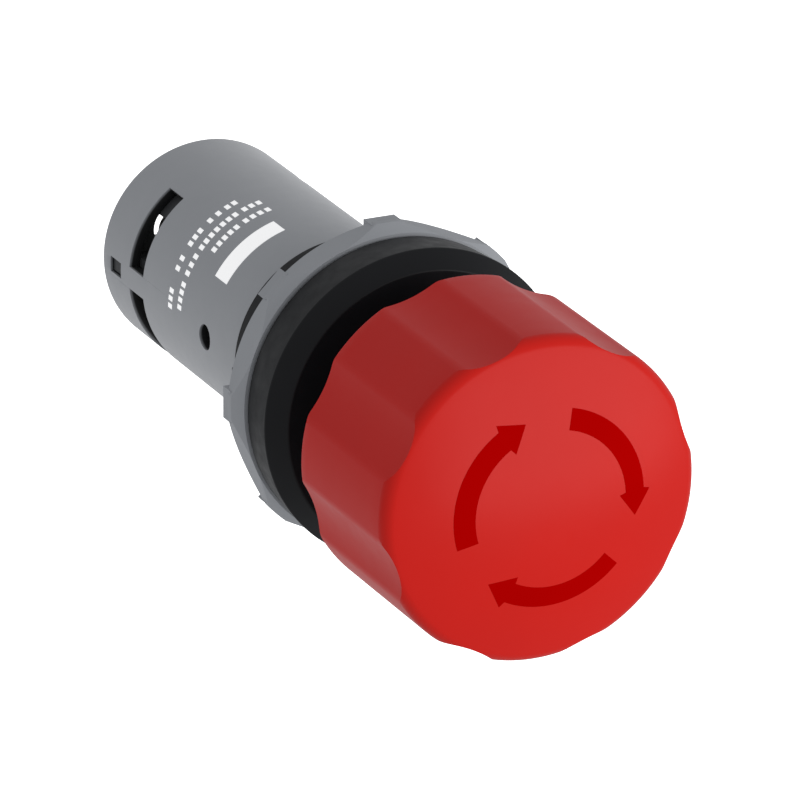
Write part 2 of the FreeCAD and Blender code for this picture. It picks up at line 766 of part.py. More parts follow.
def make_contacts():
    """Two double-break bridges with silver tips and springs, over four fixed contacts."""
    fixed_tips = []
    for k, sign in ((1, 1), (2, -1)):
        row = span(ROW_LOW, ROW_HIGH, sign)
        centre = signed("bridge_row", sign)
        box(f"contact_bridge_{k}", (f"-{BRIDGE_END}", BRIDGE_END), row, (BRIDGE_REAR, BRIDGE_FRONT))
        tips = []
        for side, x in (("left", signed(TIP_OFFSET, -1)), ("right", TIP_OFFSET)):
            name = f"tip_{k}_{side}"
            tips.append(rod(name, "tip_radius", BRIDGE_FRONT, BRIDGE_TIP_FRONT, x, centre))
            fixed_tips.append(rod("fixed_" + name, "tip_radius", FIXED_TIP_REAR, STRIP_REAR, x, centre))
        group(f"bridge_tips_{k}", tips)
        low, high = f"{WINDOW_REAR} + running_gap", f"{BRIDGE_REAR} - running_gap"
        coil(
            f"contact_spring_{k}",
            "contact_spring_radius",
            "contact_wire_radius",
            low,
            high,
            "contact_coils",
            centre,
        )
    group("fixed_contact_tips", fixed_tips)


# The four terminals stand at the corners of a rectangle: number, side along X and side along Y.
TERMINALS = [(1, 1, 1), (2, -1, 1), (3, -1, -1), (4, 1, -1)]


def make_terminals():
    for k, side_x, side_y in TERMINALS:
        x = signed(SCREW_X, side_x)
        y = signed(FOOT_ROW, side_y)
        row = span(ROW_LOW, ROW_HIGH, side_y)
        foot_row = span(f"{FOOT_ROW} - foot_width / 2", f"{FOOT_ROW} + foot_width / 2", side_y)
        strip = box(f"strip_{k}", span(STRIP_INNER, LEG_OUTER, side_x), row, (STRIP_REAR, STRIP_FRONT))
        leg = box(f"leg_{k}", span(LEG_INNER, LEG_OUTER, side_x), row, (FOOT_REAR, STRIP_FRONT))
        foot_inner = f"({SCREW_X} - foot_width / 2)"
        foot = box(f"foot_{k}", span(foot_inner, LEG_OUTER, side_x), foot_row, (FOOT_REAR, FOOT_FRONT))
        low, high = f"{FOOT_REAR} - {PAST}", f"{FOOT_FRONT} + {PAST}"
        hole = rod(f"foot_hole_{k}", "(screw_radius + running_gap)", low, high, x, y)
        cut(f"fixed_contact_{k}", fuse(f"contact_strip_{k}", strip, leg, foot), hole)

        half = "clamp_width / 2"
        plate = box(
            f"clamp_blank_{k}", (f"{x} - {half}", f"{x} + {half}"), (f"{y} - {half}", f"{y} + {half}"),
            (CLAMP_REAR, CLAMP_FRONT),
        )
        low, high = f"{CLAMP_REAR} - {PAST}", f"{CLAMP_FRONT} + {PAST}"
        clear = rod(f"clamp_hole_{k}", "(screw_radius + 2 * running_gap)", low, high, x, y)
        cut(f"clamp_plate_{k}", plate, clear)

        head_rear = f"({SCREW_SEAT} - screw_head_height)"
        head = rod(f"screw_head_{k}", "screw_head_radius", head_rear, SCREW_SEAT, x, y)
        low, high = f"{SCREW_SEAT} - {EMBED}", f"{FOOT_FRONT} + screw_tail"
        shank = rod(f"screw_shank_{k}", "screw_radius", low, high, x, y)
        reach = "(screw_head_radius - screw_slot_end)"
        depth = (f"{head_rear} - {PAST}", f"{head_rear} + screw_slot_depth")
        half = "screw_slot / 2"
        long_x, thin_x = (f"{x} - {reach}", f"{x} + {reach}"), (f"{x} - {half}", f"{x} + {half}")
        long_y, thin_y = (f"{y} - {reach}", f"{y} + {reach}"), (f"{y} - {half}", f"{y} + {half}")
        slot_x = box(f"screw_slot_x_{k}", long_x, thin_y, depth)
        slot_y = box(f"screw_slot_y_{k}", thin_x, long_y, depth)
        cut(f"terminal_screw_{k}", fuse(f"screw_solid_{k}", head, shank), slot_x, slot_y)


def leg_slots(name, low, high):
    """Room for the four contact legs between two heights."""
    slots = []
    for k, side_x, side_y in TERMINALS:
        x = span(f"{LEG_INNER} - seat_gap", f"{LEG_OUTER} + seat_gap", side_x)
        y = span(f"{ROW_LOW} - seat_gap", f"{ROW_HIGH} + seat_gap", side_y)
        slots.append(box(f"{name}_{k}", x, y, (low, high)))
    return slots


def make_housing():
    """Round contact housing that guides the carrier and holds the legs of the fixed contacts."""
    tube = ring("housing_tube", HOUSING_BORE, HOUSING_RADIUS, f"({BASE_FRONT} + seat_gap)", HOUSING_FRONT)
    slots = leg_slots("housing_slot", f"{BASE_FRONT} - {PAST}", f"{STRIP_FRONT} + seat_gap")
    cut("contact_housing", tube, *slots)


def make_base():
    """Terminal base: four clamp chambers open to the wire slots, four screw wells, and two snap noses."""
    blank = rod("base_blank", HOUSING_RADIUS, BASE_REAR, BASE_FRONT)
    noses = [
        box(
            f"base_nose_{k}",
            span(f"{HOUSING_RADIUS} - {CURVED_PAST}", f"{HOUSING_RADIUS} + nose_reach", sign),
            ("-window_width / 2 + nose_gap", "window_width / 2 - nose_gap"),
            (f"{WINDOW_LOW} + nose_gap", f"{WINDOW_HIGH} - nose_gap"),
        )
        for k, sign in ((1, 1), (2, -1))
    ]
    cutters = leg_slots("base_slot", f"{CHAMBER_FRONT} - {EMBED}", f"{BASE_FRONT} + {PAST}")
    for k, side_x, side_y in TERMINALS:
        x = signed(SCREW_X, side_x)
        y = signed(FOOT_ROW, side_y)
        half = "(foot_width / 2 + 2 * seat_gap)"
        plan_x = span(f"{SCREW_X} - {half}", f"{SHELL_RADIUS}", side_x)
        plan_y = span(f"{FOOT_ROW} - {half}", f"{FOOT_ROW} + {half}", side_y)
        cutters.append(box(f"chamber_{k}", plan_x, plan_y, (CHAMBER_REAR, CHAMBER_FRONT)))
        well = "(screw_head_radius + screw_hole_gap)"
        cutters.append(rod(f"well_{k}", well, f"{BASE_REAR} - {PAST}", f"{CHAMBER_REAR} + {EMBED}", x, y))
        through = "(screw_radius + screw_hole_gap)"
        low, high = f"{CHAMBER_FRONT} - {EMBED}", f"{BASE_FRONT} + {PAST}"
        cutters.append(rod(f"through_{k}", through, low, high, x, y))
    cut("terminal_base", fuse("base_solid", blank, *noses), *cutters)


def make_shell():
    """Rear shell: a spigot that snaps into the sleeve, wire slots, a vent hole and windows for the noses."""
    blank = turned(
        "shell_blank",
        [
            (SHELL_INNER, SHELL_REAR),
            (f"({SHELL_RADIUS} - shell_end_chamfer)", SHELL_REAR),
            (SHELL_RADIUS, f"({SHELL_REAR} + shell_end_chamfer)"),
            (SHELL_RADIUS, SHELL_FRONT),
            (RETAINER_OUTER, SHELL_FRONT),
            (RETAINER_OUTER, SPIGOT_FRONT),
            (SPIGOT_INNER, SPIGOT_FRONT),
            (SPIGOT_INNER, WEB_REAR),
            (SHELL_INNER, WEB_REAR),
        ],
    )
    reach = f"(1.5 * {SHELL_RADIUS})"
    cutters = []
    for k, middle in enumerate(("slot_angle", "180 - slot_angle", "180 + slot_angle", "360 - slot_angle")):
        first, last = f"{middle} - slot_span / 2", f"{middle} + slot_span / 2"
        cutters.append(wedge(f"wire_slot_{k}", reach, first, last, SLOT_REAR, SLOT_FRONT))
    wall = (f"{SHELL_INNER} - {CURVED_PAST}", f"{SHELL_RADIUS} + {CURVED_PAST}")
    for k, sign in ((1, 1), (2, -1)):
        cutters.append(
            box(
                f"nose_window_{k}",
                span(*wall, sign),
                ("-window_width / 2", "window_width / 2"),
                (WINDOW_LOW, WINDOW_HIGH),
            )
        )
    cutters.append(cross_rod("vent_hole", "hole_radius", wall, "-hole_behind_seat"))
    cut("rear_shell", blank, *cutters)


NODES = [
    "mushroom_head",
    "release_arrows",
    "actuator_stem",
    "head_cross_pin",
    "stem_clip",
    "stem_seal",
    "return_spring",
    "collar_sleeve",
    "panel_gasket",
    "clamp_washer",
    "fixing_nut",
    "latch_ring",
    "latch_spring",
    "latch_retainer",
    "contact_carrier",
    "carrier_spring",
    "contact_bridge_1",
    "contact_bridge_2",
    "bridge_tips_1",
    "bridge_tips_2",
    "contact_spring_1",
    "contact_spring_2",
    "fixed_contact_tips",
    "contact_housing",
    "terminal_base",
    "rear_shell",
]
for k, _, _ in TERMINALS:
    NODES += [f"{kind}_{k}" for kind in ("fixed_contact", "clamp_plate", "terminal_screw")]


def main():
    make_head(make_arrows())
    make_stem()
    make_collar()
    make_nut()
    make_latch()
    make_return_spring()
    make_carrier()
    make_contacts()
    make_terminals()
    make_housing()
    make_base()
    make_shell()
    doc.recompute()
    for thing in doc.Objects:
        if "Invalid" in thing.State or "Error" in thing.State:
            raise RuntimeError(f"{thing.Label} failed: {thing.State}")
    for name in NODES:
        shape = doc.getObject(name).Shape
        if shape.isNull() or not shape.isValid() or not shape.Solids:
            raise RuntimeError(f"{name} has no valid solid")
    os.makedirs("parts", exist_ok=True)
    for name in NODES:
        doc.getObject(name).Shape.exportStep(f"parts/{name}.step")


main()
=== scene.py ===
import json
import math

import bpy
from bpy.props import FloatProperty, FloatVectorProperty, IntProperty, PointerProperty
from bpy.types import Operator, Panel, PropertyGroup
from mathutils import Matrix, Vector


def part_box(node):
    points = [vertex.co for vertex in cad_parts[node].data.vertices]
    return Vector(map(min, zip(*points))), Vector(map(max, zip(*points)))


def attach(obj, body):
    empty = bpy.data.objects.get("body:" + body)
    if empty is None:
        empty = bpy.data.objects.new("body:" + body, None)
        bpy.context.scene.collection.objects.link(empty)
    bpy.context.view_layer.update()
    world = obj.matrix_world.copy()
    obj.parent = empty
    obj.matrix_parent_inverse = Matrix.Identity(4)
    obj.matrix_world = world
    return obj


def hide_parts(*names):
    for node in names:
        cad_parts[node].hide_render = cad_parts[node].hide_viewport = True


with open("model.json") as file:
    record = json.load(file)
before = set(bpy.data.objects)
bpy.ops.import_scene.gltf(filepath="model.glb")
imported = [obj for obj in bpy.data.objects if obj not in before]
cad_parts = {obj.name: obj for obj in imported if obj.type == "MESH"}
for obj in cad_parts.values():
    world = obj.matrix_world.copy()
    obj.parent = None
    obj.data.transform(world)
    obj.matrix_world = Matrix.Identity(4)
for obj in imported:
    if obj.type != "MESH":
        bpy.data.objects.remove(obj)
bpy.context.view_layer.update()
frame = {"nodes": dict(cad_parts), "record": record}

bl_info = {
    "name": "Emergency Stop Button",
    "version": (1, 0, 0),
    "blender": (4, 5, 0),
    "location": "3D View > Sidebar > Stop Button",
    "description": "Builds the outer pieces and finishes of a twist-to-release emergency stop button",
    "category": "Add Mesh",
}

MM = 0.001
STEPS = 360
HAIR = 5e-7

# Where the camera stands, and which ways are right and up in its picture.
CAMERA_PLACE = Vector((0.31449, -0.28317, 0.66332))
CAMERA_RIGHT = Vector((-0.904119, -0.005450, 0.427247))
CAMERA_UP = Vector((-0.149718, -0.932485, -0.328720))


# ----------------------------------------------------------------------------------------------------
# Sizes that come from the frame
# ----------------------------------------------------------------------------------------------------

def outer_radius(node):
    """Largest distance of a node from the button's axis."""
    return max(math.hypot(v.co.x, v.co.y) for v in frame["nodes"][node].data.vertices)


HEAD_LOW, HEAD_HIGH = (corner.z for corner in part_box("mushroom_head"))
HEAD_RADIUS = outer_radius("mushroom_head")
COLLAR_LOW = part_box("collar_sleeve")[0].z
NECK_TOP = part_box("collar_sleeve")[1].z
COLLAR_RADIUS = outer_radius("collar_sleeve")
NUT_LOW, NUT_HIGH = (corner.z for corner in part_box("fixing_nut"))
SHELL_LOW, SHELL_HIGH = (corner.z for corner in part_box("rear_shell"))
SHELL_RADIUS = outer_radius("rear_shell")

# The sleeve's thread.
THREAD_CREST = 11.0 * MM
THREAD_SINK = 0.15 * MM
THREAD_START = -1.35 * MM

# The fixing nut.
NUT_BACK = -3.2 * MM
NUT_FLOOR = 0.35 * MM
NUT_HUB = 12.5 * MM
NUT_BORE, NUT_BORE_CHAMFER = 11.05 * MM, 0.3 * MM
NUT_RECESS, NUT_RECESS_RADIUS = -2.85 * MM, 13.4 * MM
TAB_DEPTH, TAB_HEIGHT, TAB_BACK_OFF = 1.8 * MM, 1.6 * MM, 0.1 * MM

# The rear shell's wire slots, latch windows and round hole.
SLOT_LOW, SLOT_HIGH = -35.55 * MM, -32.4 * MM
CUT_INNER, CUT_OUTER = 8.5 * MM, 11 * MM
WINDOW_LOW, WINDOW_HIGH, WINDOW_HALF = -39.75 * MM, -37.4 * MM, 0.75 * MM
HOLE_RADIUS, HOLE_HEIGHT = 1.2 * MM, -18.5 * MM


def length_of(name, default_mm, text):
    return FloatProperty(name=name, description=text, default=default_mm * MM, unit="LENGTH", precision=5)


def angle_of(name, default_deg, text):
    return FloatProperty(name=name, description=text, default=math.radians(default_deg), unit="ROTATION")


def colour_of(name, rgb, text):
    return FloatVectorProperty(
        name=name, description=text, default=(*rgb, 1.0), size=4, subtype="COLOR", min=0.0, max=1.0
    )


class StopHeadSettings(PropertyGroup):
    """Sizes and colours of the mushroom head and its arrows."""

    rim: length_of("Rim rounding", 1.45, "Radius between the side and the dome")
    dome_rise: length_of("Dome rise", 2.7, "Height of the dome above the side")
    skirt_wall: length_of("Skirt wall", 1.8, "Thickness of the hollow skirt")
    scallops: IntProperty(name="Scallops", description="Grip hollows round the side", default=8, min=3)
    scallop_depth: length_of("Scallop depth", 0.7, "Depth of each hollow at its middle")
    scallop_span: angle_of("Scallop span", 22.5, "Angle that one hollow takes")
    scallop_turn: angle_of("Scallop turn", 18.0, "Angle of the first hollow's middle")
    scallop_blend: length_of("Scallop blend", 2.0, "Radius that softens each edge of a hollow")
    arrow_radius: length_of("Arrow radius", 8.15, "Mean radius of the arrows")
    arrow_width: length_of("Arrow width", 1.92, "Width of an arrow's shaft")
    arrow_barb: length_of("Arrow barb", 3.15, "Width of an arrow's point")
    arrow_tip_out: length_of("Arrow tip offset", 0.3, "How far a tip lies outside the mean radius")
    arrow_tail: angle_of("Arrow tail", 16.6, "Angle of the first arrow's tail")
    arrow_neck: angle_of("Arrow neck", -57.4, "Angle where the first arrow's shaft ends")
    arrow_barbs: angle_of("Arrow barbs", -58.6, "Angle of the first arrow's barbs")
    arrow_tip: angle_of("Arrow tip", -73.6, "Angle of the first arrow's tip")
    red: colour_of("Red", (0.60, 0.014, 0.0095), "Colour of the head's plastic")
    arrow_red: colour_of("Arrow red", (0.40, 0.0002, 0.0002), "Colour of the arrows")


class StopBodySettings(PropertyGroup):
    """Sizes and colours of the collar, nut and rear shell."""

    thread_pitch: length_of("Thread pitch", 1.5, "Pitch of the sleeve's thread")
    thread_depth: length_of("Thread depth", 0.45, "Depth of the sleeve's thread")
    nut_flats: length_of("Nut half flats", 14.5, "Distance from the axis to one flat of the nut")
    nut_chamfer: length_of("Nut chamfer", 1.2, "Chamfer on the nut's corners")
    nut_rise: length_of("Nut corner rise", 0.75, "How far the cut corners stand out past the flats")
    nut_tab: length_of("Nut tab width", 3.0, "Width of the tab on each corner of the nut")
    slot_span: angle_of("Wire slot span", 48.0, "Angle that one wire slot takes")
    slot_middle: angle_of("Wire slot middle", 30.0, "Angle of the first wire slot's middle")
    black: colour_of("Black", (0.010, 0.0105, 0.012), "Colour of the collar's plastic")
    grey: colour_of("Grey", (0.35, 0.363, 0.385), "Colour of the nut's and shell's plastic")


# ----------------------------------------------------------------------------------------------------
# Finishes
# ----------------------------------------------------------------------------------------------------

def new_material(name):
    """A node material, its tree, its shader and a source of object coordinates."""
    material = bpy.data.materials.new(name)
    material.use_nodes = True
    tree = material.node_tree
    shader = tree.nodes["Principled BSDF"]
    coordinates = tree.nodes.new("ShaderNodeTexCoord")
    return material, tree, shader, coordinates.outputs["Object"]


def noise(tree, source, scale, detail=3.0, roughness=0.5):
    """Cloudy noise with so many cells to the metre."""
    node = tree.nodes.new("ShaderNodeTexNoise")
    node.inputs["Scale"].default_value = scale
    node.inputs["Detail"].default_value = detail
    node.inputs["Roughness"].default_value = roughness
    tree.links.new(source, node.inputs["Vector"])
    return node.outputs["Fac"]


def between(tree, value, low, high):
    """Spreads a 0.3 to 0.7 noise between two values."""
    node = tree.nodes.new("ShaderNodeMapRange")
    node.inputs["From Min"].default_value = 0.3
    node.inputs["From Max"].default_value = 0.7
    node.inputs["To Min"].default_value = low
    node.inputs["To Max"].default_value = high
    tree.links.new(value, node.inputs["Value"])
    return node.outputs["Result"]


def tinted(tree, value, colour, spread):
    """A colour that drifts a little darker and lighter with a noise."""
    node = tree.nodes.new("ShaderNodeValToRGB")
    node.color_ramp.elements[0].position = 0.3
    node.color_ramp.elements[1].position = 0.7
    node.color_ramp.elements[0].color = (*[c * (1 - spread) for c in colour[:3]], 1)
    node.color_ramp.elements[1].color = (*[min(1, c * (1 + spread)) for c in colour[:3]], 1)
    tree.links.new(value, node.inputs["Fac"])
    return node.outputs["Color"]


def bump(tree, height, strength, distance, under=None):
    """Small relief from a height, over another relief if one is given."""
    node = tree.nodes.new("ShaderNodeBump")
    node.inputs["Strength"].default_value = strength
    node.inputs["Distance"].default_value = distance
    tree.links.new(height, node.inputs["Height"])
    if under is not None:
        tree.links.new(under, node.inputs["Normal"])
    return node.outputs["Normal"]


def moulded_plastic(name, colour, gloss, grain=0.12, spread=0.04, sheen=0.0, specular=0.5):
    """Moulded plastic: a slow drift of colour, uneven gloss, flow waves and a fine spark-eroded grain."""
    material, tree, shader, place = new_material(name)
    drift = noise(tree, place, 90, 2)
    fine = noise(tree, place, 9000, 2)
    waves = noise(tree, place, 160, 1)
    tree.links.new(tinted(tree, drift, colour, spread), shader.inputs["Base Color"])
    patches = noise(tree, place, 700, 4)
    tree.links.new(between(tree, patches, gloss[0], gloss[1]), shader.inputs["Roughness"])
    relief = bump(tree, waves, 0.25, 0.00012)
    tree.links.new(bump(tree, fine, grain, 0.00004, relief), shader.inputs["Normal"])
    shader.inputs["Specular IOR Level"].default_value = specular
    shader.inputs["Sheen Weight"].default_value = sheen
    shader.inputs["Sheen Roughness"].default_value = 0.4
    return material


def paint_shade_within(material, inner, outer):
    """Paints shade into a material's colour and sheen: near black from one radius about the axis inwards to
    another, in place of the shade that falls on inner and cut walls.
    """
    tree = material.node_tree
    shader = tree.nodes["Principled BSDF"]
    place = tree.nodes["Texture Coordinate"].outputs["Object"]
    flat = tree.nodes.new("ShaderNodeVectorMath")
    flat.operation = "MULTIPLY"
    flat.inputs[1].default_value = (1, 1, 0)
    tree.links.new(place, flat.inputs[0])
    reach = tree.nodes.new("ShaderNodeVectorMath")
    reach.operation = "LENGTH"
    tree.links.new(flat.outputs["Vector"], reach.inputs[0])
    painted_shade_factor = tree.nodes.new("ShaderNodeMapRange")
    painted_shade_factor.inputs["From Min"].default_value = inner
    painted_shade_factor.inputs["From Max"].default_value = outer
    painted_shade_factor.inputs["To Min"].default_value = 0.04
    tree.links.new(reach.outputs["Value"], painted_shade_factor.inputs["Value"])
    scaled = tree.nodes.new("ShaderNodeVectorMath")
    scaled.operation = "SCALE"
    tree.links.new(shader.inputs["Base Color"].links[0].from_socket, scaled.inputs[0])
    tree.links.new(painted_shade_factor.outputs["Result"], scaled.inputs["Scale"])
    tree.links.new(scaled.outputs["Vector"], shader.inputs["Base Color"])
    sheen = tree.nodes.new("ShaderNodeMath")
    sheen.operation = "MULTIPLY"
    sheen.inputs[1].default_value = shader.inputs["Sheen Weight"].default_value
    tree.links.new(painted_shade_factor.outputs["Result"], sheen.inputs[0])
    tree.links.new(sheen.outputs["Value"], shader.inputs["Sheen Weight"])


def turned_metal(name, colour, gloss, scratch=0.2):
    """Plated or bright metal with fine drawn marks and cloudy gloss."""
    material, tree, shader, place = new_material(name)
    stretch = tree.nodes.new("ShaderNodeMapping")
    stretch.inputs["Scale"].default_value = (1, 1, 12)
    tree.links.new(place, stretch.inputs["Vector"])
    marks = noise(tree, stretch.outputs["Vector"], 1800, 3)
    clouds = noise(tree, place, 400, 4)
    tree.links.new(tinted(tree, clouds, colour, 0.08), shader.inputs["Base Color"])
    tree.links.new(between(tree, marks, gloss[0], gloss[1]), shader.inputs["Roughness"])
    tree.links.new(bump(tree, marks, scratch, 0.00003), shader.inputs["Normal"])
    shader.inputs["Metallic"].default_value = 1.0
    return material


def soft_rubber(name, colour):
    """Matte rubber with a fine even grain."""
    material, tree, shader, place = new_material(name)
    grain = noise(tree, place, 5000, 3)
    tree.links.new(tinted(tree, noise(tree, place, 300), colour, 0.15), shader.inputs["Base Color"])
    tree.links.new(between(tree, grain, 0.6, 0.85), shader.inputs["Roughness"])
    tree.links.new(bump(tree, grain, 0.3, 0.00005), shader.inputs["Normal"])
    return material


# ----------------------------------------------------------------------------------------------------
# Modelling steps
# ----------------------------------------------------------------------------------------------------

def clear_selection():
    if bpy.context.object is not None and bpy.context.object.mode != "OBJECT":
        bpy.ops.object.mode_set(mode="OBJECT")
    bpy.ops.object.select_all(action="DESELECT")


def only(obj):
    """Makes one object the selected and active one."""
    clear_selection()
    obj.select_set(True)
    bpy.context.view_layer.objects.active = obj


def settle(obj):
    """Moves an object's place into its mesh."""
    only(obj)
    bpy.ops.object.transform_apply(location=True, rotation=True, scale=True)


def apply_modifier(obj, kind, **settings):
    modifier = obj.modifiers.new(kind.title(), kind)
    for key, value in settings.items():
        setattr(modifier, key, value)
    only(obj)
    bpy.ops.object.modifier_apply(modifier=modifier.name)


def combine(obj, other, operation):
    """Adds, cuts or keeps the common part with another closed mesh, which is used up."""
    apply_modifier(obj, "BOOLEAN", object=other, operation=operation, solver="EXACT")
    bpy.data.objects.remove(other)


def soften(obj, width, segments=3, angle=35):
    """Rounds the edges that are sharper than an angle."""
    apply_modifier(
        obj, "BEVEL", width=width, segments=segments, limit_method="ANGLE", angle_limit=math.radians(angle),
        use_clamp_overlap=True, harden_normals=False, miter_outer="MITER_ARC",
    )


def shade(obj, angle=30):
    """Smooths a piece below an angle and lets its large faces lead the shading."""
    only(obj)
    bpy.ops.object.shade_smooth_by_angle(angle=math.radians(angle))
    apply_modifier(obj, "WEIGHTED_NORMAL", mode="FACE_AREA", weight=80, keep_sharp=True)


def tidy(obj, distance=HAIR):
    """Merges doubled points and turns every face outwards."""
    only(obj)
    bpy.ops.object.mode_set(mode="EDIT")
    bpy.ops.mesh.select_all(action="SELECT")
    bpy.ops.mesh.remove_doubles(threshold=distance)
    bpy.ops.mesh.normals_make_consistent(inside=False)
    bpy.ops.object.mode_set(mode="OBJECT")


def lathe(name, profile):
    """A turned piece: one ring is drawn out again and again along its half section of (radius, height)."""
    clear_selection()
    points = [(max(r, HAIR / 4), z) for r, z in profile]
    radius, height = points[0]
    bpy.ops.mesh.primitive_circle_add(
        vertices=STEPS, radius=radius, location=(0, 0, height), fill_type="NOTHING"
    )
    obj = bpy.context.object
    obj.name = name
    settle(obj)
    bpy.ops.object.mode_set(mode="EDIT")
    bpy.ops.mesh.select_all(action="SELECT")
    for r, z in points[1:] + points[:1]:
        bpy.ops.mesh.extrude_region_move(TRANSFORM_OT_translate={"value": (0, 0, z - height)})
        bpy.ops.transform.resize(value=(r / radius, r / radius, 1), center_override=(0, 0, z))
        radius, height = r, z
    bpy.ops.object.mode_set(mode="OBJECT")
    tidy(obj)
    return obj


def arc(centre, radius, start, end, count):
    """Points of a profile's rounding, from one angle to another in degrees."""
    angles = [math.radians(start + (end - start) * i / count) for i in range(count + 1)]
    return [(centre[0] + radius * math.cos(a), centre[1] + radius * math.sin(a)) for a in angles]


def rounded(points, radii, count=6):
    """A closed profile whose corners are rounded, each by its own radius (0 leaves it sharp)."""
    out = []
    n = len(points)
    for i, radius in enumerate(radii):
        corner = Vector(points[i])
        if radius <= 0:
            out.append(tuple(corner))
            continue
        back = (Vector(points[i - 1]) - corner).normalized()
        ahead = (Vector(points[(i + 1) % n]) - corner).normalized()
        half = back.angle(ahead) / 2
        reach = radius / math.tan(half)
        start, end = corner + back * reach, corner + ahead * reach
        centre = corner + (back + ahead).normalized() * (radius / math.sin(half))
        a = math.atan2(start.y - centre.y, start.x - centre.x)
        b = math.atan2(end.y - centre.y, end.x - centre.x)
        turn = (b - a + math.pi) % (2 * math.pi) - math.pi
        for k in range(count + 1):
            t = a + turn * k / count
            out.append((centre.x + radius * math.cos(t), centre.y + radius * math.sin(t)))
    return out


def block(name, low, high):
    """A plain block between two corners, used only to cut with or to join on."""
    clear_selection()
    low, high = Vector(low), Vector(high)
    bpy.ops.mesh.primitive_cube_add(size=1, location=(low + high) / 2, scale=high - low)
    obj = bpy.context.object
    obj.name = name
    settle(obj)
    return obj


def rod(name, radius, low, high, x=0.0, y=0.0, vertices=96):
    """A plain round bar along Z, used only to cut with or to join on."""
    clear_selection()
    bpy.ops.mesh.primitive_cylinder_add(
        vertices=vertices, radius=radius, depth=high - low, location=(x, y, (low + high) / 2)
    )
    obj = bpy.context.object
    obj.name = name
    settle(obj)
    return obj


def prism(name, outline, low, high):
    """An upright prism over a plan outline."""
    clear_selection()
    plan = bpy.data.curves.new(name, "CURVE")
    plan.dimensions = "2D"
    plan.fill_mode = "BOTH"
    spline = plan.splines.new("POLY")
    spline.points.add(len(outline) - 1)
    for point, (x, y) in zip(spline.points, outline):
        point.co = (x, y, 0, 1)
    spline.use_cyclic_u = True
    obj = bpy.data.objects.new(name, plan)
    bpy.context.collection.objects.link(obj)
    only(obj)
    bpy.ops.object.convert(target="MESH")
    obj = bpy.context.object
    bpy.ops.object.mode_set(mode="EDIT")
    bpy.ops.mesh.select_all(action="SELECT")
    bpy.ops.mesh.remove_doubles(threshold=HAIR)
    bpy.ops.mesh.extrude_region_move(TRANSFORM_OT_translate={"value": (0, 0, high - low)})
    bpy.ops.object.mode_set(mode="OBJECT")
    obj.location.z = low
    settle(obj)
    tidy(obj)
    return obj


def polar(radius, angle):
    return Vector((radius * math.cos(angle), radius * math.sin(angle)))


def sweep(centre, start, end, count):
    """Points of a circular arc about a centre, from one point to another, by the shorter way round."""
    a = math.atan2(*reversed(start - centre))
    b = math.atan2(*reversed(end - centre))
    turn = (b - a + math.pi) % (2 * math.pi) - math.pi
    radius = (start - centre).length
    return [centre + polar(radius, a + turn * k / count) for k in range(count + 1)]


def turn_copy(obj, angle):
    """A copy with its own mesh, turned about the button's axis."""
    copy = obj.copy()
    copy.data = obj.data.copy()
    bpy.context.collection.objects.link(copy)
    only(copy)
    bpy.context.scene.cursor.location = (0, 0, 0)
    copy.rotation_euler = (0, 0, angle)
    settle(copy)
    return copy


def join(objects):
    """One object from several."""
    only(objects[0])
    for obj in objects[1:]:
        obj.select_set(True)
    bpy.ops.object.join()
    return bpy.context.object


def ring_of(obj, count):
    """Copies of a piece spread evenly about the axis and joined."""
    copies = [turn_copy(obj, 2 * math.pi * k / count) for k in range(count)]
    bpy.data.objects.remove(obj)
    return join(copies)


def sector(name, inner, outer, low, high, middle, span):
    """A block bent round the axis: an upright face, spun clockwise through an angle."""
    clear_selection()
    steps = max(6, int(math.degrees(span)))
    bpy.ops.mesh.primitive_plane_add(size=1, location=((inner + outer) / 2, 0, (low + high) / 2))
    obj = bpy.context.object
    obj.name = name
    obj.rotation_euler = (math.pi / 2, 0, 0)
    obj.scale = (outer - inner, high - low, 1)
    settle(obj)
    bpy.ops.object.mode_set(mode="EDIT")
    bpy.ops.mesh.select_all(action="SELECT")
    bpy.ops.mesh.spin(steps=steps, angle=span, center=(0, 0, 0), axis=(0, 0, 1), use_auto_merge=False)
    bpy.ops.mesh.select_all(action="SELECT")
    bpy.ops.object.mode_set(mode="OBJECT")
    close_ends(obj)
    obj.rotation_euler = (0, 0, middle + span / 2)
    settle(obj)
    return obj


def close_ends(obj):
    """Fills the open end faces of a spun or wound piece and turns its faces outwards."""
    only(obj)
    bpy.ops.object.mode_set(mode="EDIT")
    bpy.ops.mesh.select_all(action="SELECT")
    bpy.ops.mesh.remove_doubles(threshold=HAIR)
    bpy.ops.mesh.select_all(action="DESELECT")
    bpy.ops.mesh.select_mode(type="EDGE")
    bpy.ops.mesh.select_non_manifold()
    bpy.ops.mesh.edge_face_add()
    bpy.ops.mesh.select_all(action="SELECT")
    bpy.ops.mesh.normals_make_consistent(inside=False)
    bpy.ops.mesh.select_mode(type="VERT")
    bpy.ops.object.mode_set(mode="OBJECT")


def finish_piece(obj, name, material, body, slot, *nodes):
    """Names and finishes a piece, ties it to its body and hides the frame nodes that it stands for; its slot
    is not used.
    """
    obj.name = name
    obj.data.name = name
    obj.data.materials.clear()
    obj.data.materials.append(material)
    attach(obj, body)
    if nodes:
        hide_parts(*nodes)


def dress(node, material):
    """Gives a frame node a finish."""
    data = frame["nodes"][node].data
    data.materials.clear()
    data.materials.append(material)


# ----------------------------------------------------------------------------------------------------
# Pieces
# ----------------------------------------------------------------------------------------------------

def dome_radius(settings):
    rise = settings.dome_rise
    return (HEAD_RADIUS**2 + rise**2) / (2 * rise)


